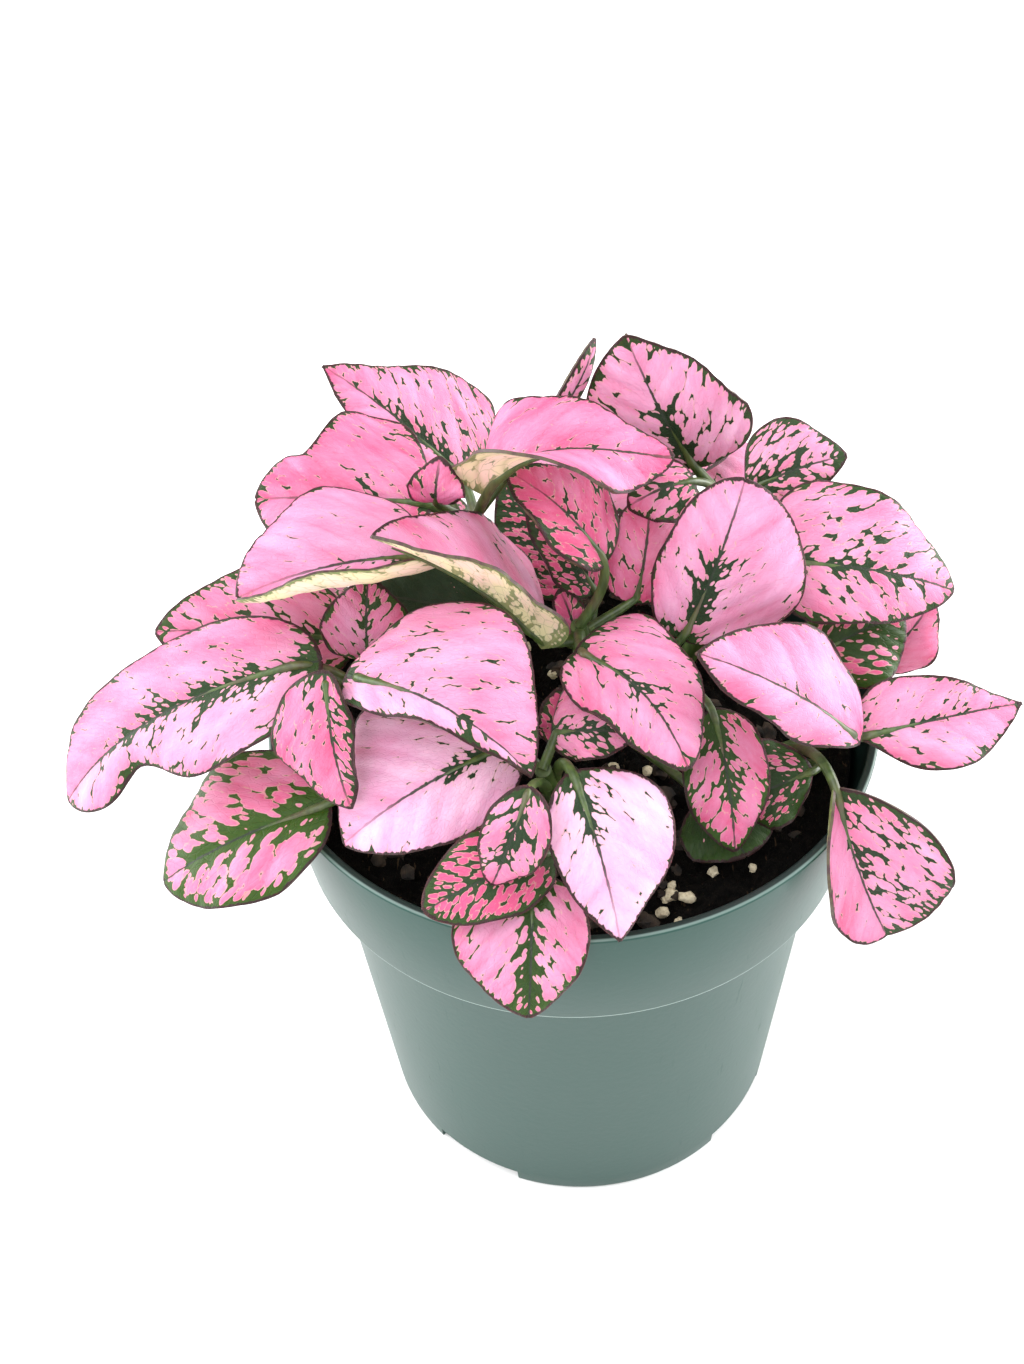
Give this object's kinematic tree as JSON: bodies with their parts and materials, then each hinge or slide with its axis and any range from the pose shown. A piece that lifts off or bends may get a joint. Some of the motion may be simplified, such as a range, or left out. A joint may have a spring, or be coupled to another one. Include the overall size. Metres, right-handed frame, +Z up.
{
  "type": "potted polka dot plant",
  "caption": "Small pink and green spotted foliage plant growing from dark soil in a round grey-green nursery pot with a deep collar.",
  "frame": {"origin": "on the pot's axis, at the surface the pot stands on, in the middle of the flat pad under its floor", "axes": "+Z up along the pot's axis, -Y toward the bright front of the plant, +X to the right seen from the front"},
  "size_m": [0.0756, 0.0616, 0.0784],
  "materials": {
    "pot": "satin",
    "soil": "matte",
    "stem": "satin",
    "leaf_pink": "satin",
    "leaf_green_pink": "satin"
  },
  "bodies": {
    "root": {"leaf_01_top_left": "leaf_pink", "leaf_02_left_wavy": "leaf_pink", "leaf_03_left_big": "leaf_pink", "leaf_04_top_middle": "leaf_pink", "leaf_05_middle_cupped": "leaf_pink", "leaf_06_middle_upright": "leaf_pink", "leaf_07_right_middle": "leaf_pink", "leaf_08_top_right": "leaf_pink", "leaf_09_right_back_small": "leaf_pink", "leaf_10_right_spotted": "leaf_pink", "leaf_11_right_shaded": "leaf_green_pink", "leaf_12_right_behind": "leaf_pink", "leaf_13_right_pointed": "leaf_pink", "leaf_14_right_hanging": "leaf_green_pink", "leaf_15_right_dark": "leaf_green_pink", "leaf_16_front_right_low": "leaf_pink", "leaf_17_low_green": "leaf_green_pink", "leaf_18_middle_front": "leaf_pink", "leaf_19_centre_small": "leaf_pink", "leaf_20_middle_folded": "leaf_pink", "leaf_21_middle_narrow": "leaf_pink", "leaf_22_top_small": "leaf_pink", "leaf_23_middle_dark": "leaf_green_pink", "leaf_24_left_long": "leaf_pink", "leaf_25_left_spotted": "leaf_pink", "leaf_26_left_inner": "leaf_pink", "leaf_28_front_left_big": "leaf_pink", "leaf_29_left_drooping": "leaf_pink", "leaf_30_front_left_low": "leaf_pink", "leaf_31_left_old": "leaf_green_pink", "leaf_32_front_small": "leaf_pink", "leaf_33_front_dark": "leaf_green_pink", "leaf_34_over_rim": "leaf_green_pink", "leaf_35_front_bright": "leaf_pink", "leaf_36_front_bud": "leaf_pink", "leaf_37_middle_shaded": "leaf_pink", "leaf_39_right_folded": "leaf_green_pink", "leaf_40_top_sliver": "leaf_pink", "leaf_41_left_small": "leaf_pink", "leaf_42_back_shaded": "leaf_green_pink", "leaf_43_left_inner_low": "leaf_green_pink", "leaf_51_back_right": "leaf_pink", "leaf_52_back_right_inner": "leaf_pink", "leaf_53_back_middle": "leaf_pink", "leaf_54_back": "leaf_pink", "leaf_55_back_left_inner": "leaf_pink", "leaf_56_back_left": "leaf_pink", "leaf_57_back_right_low": "leaf_pink", "leaf_58_back_low": "leaf_pink", "leaf_59_back_left_low": "leaf_pink", "leaf_60_left_low": "leaf_pink", "pot": "pot", "soil": "soil", "stem_back": "stem", "stem_back_left": "stem", "stem_back_right": "stem", "stem_front": "stem", "stem_left": "stem", "stem_middle": "stem", "stem_right": "stem"}
  },
  "joints": []
}
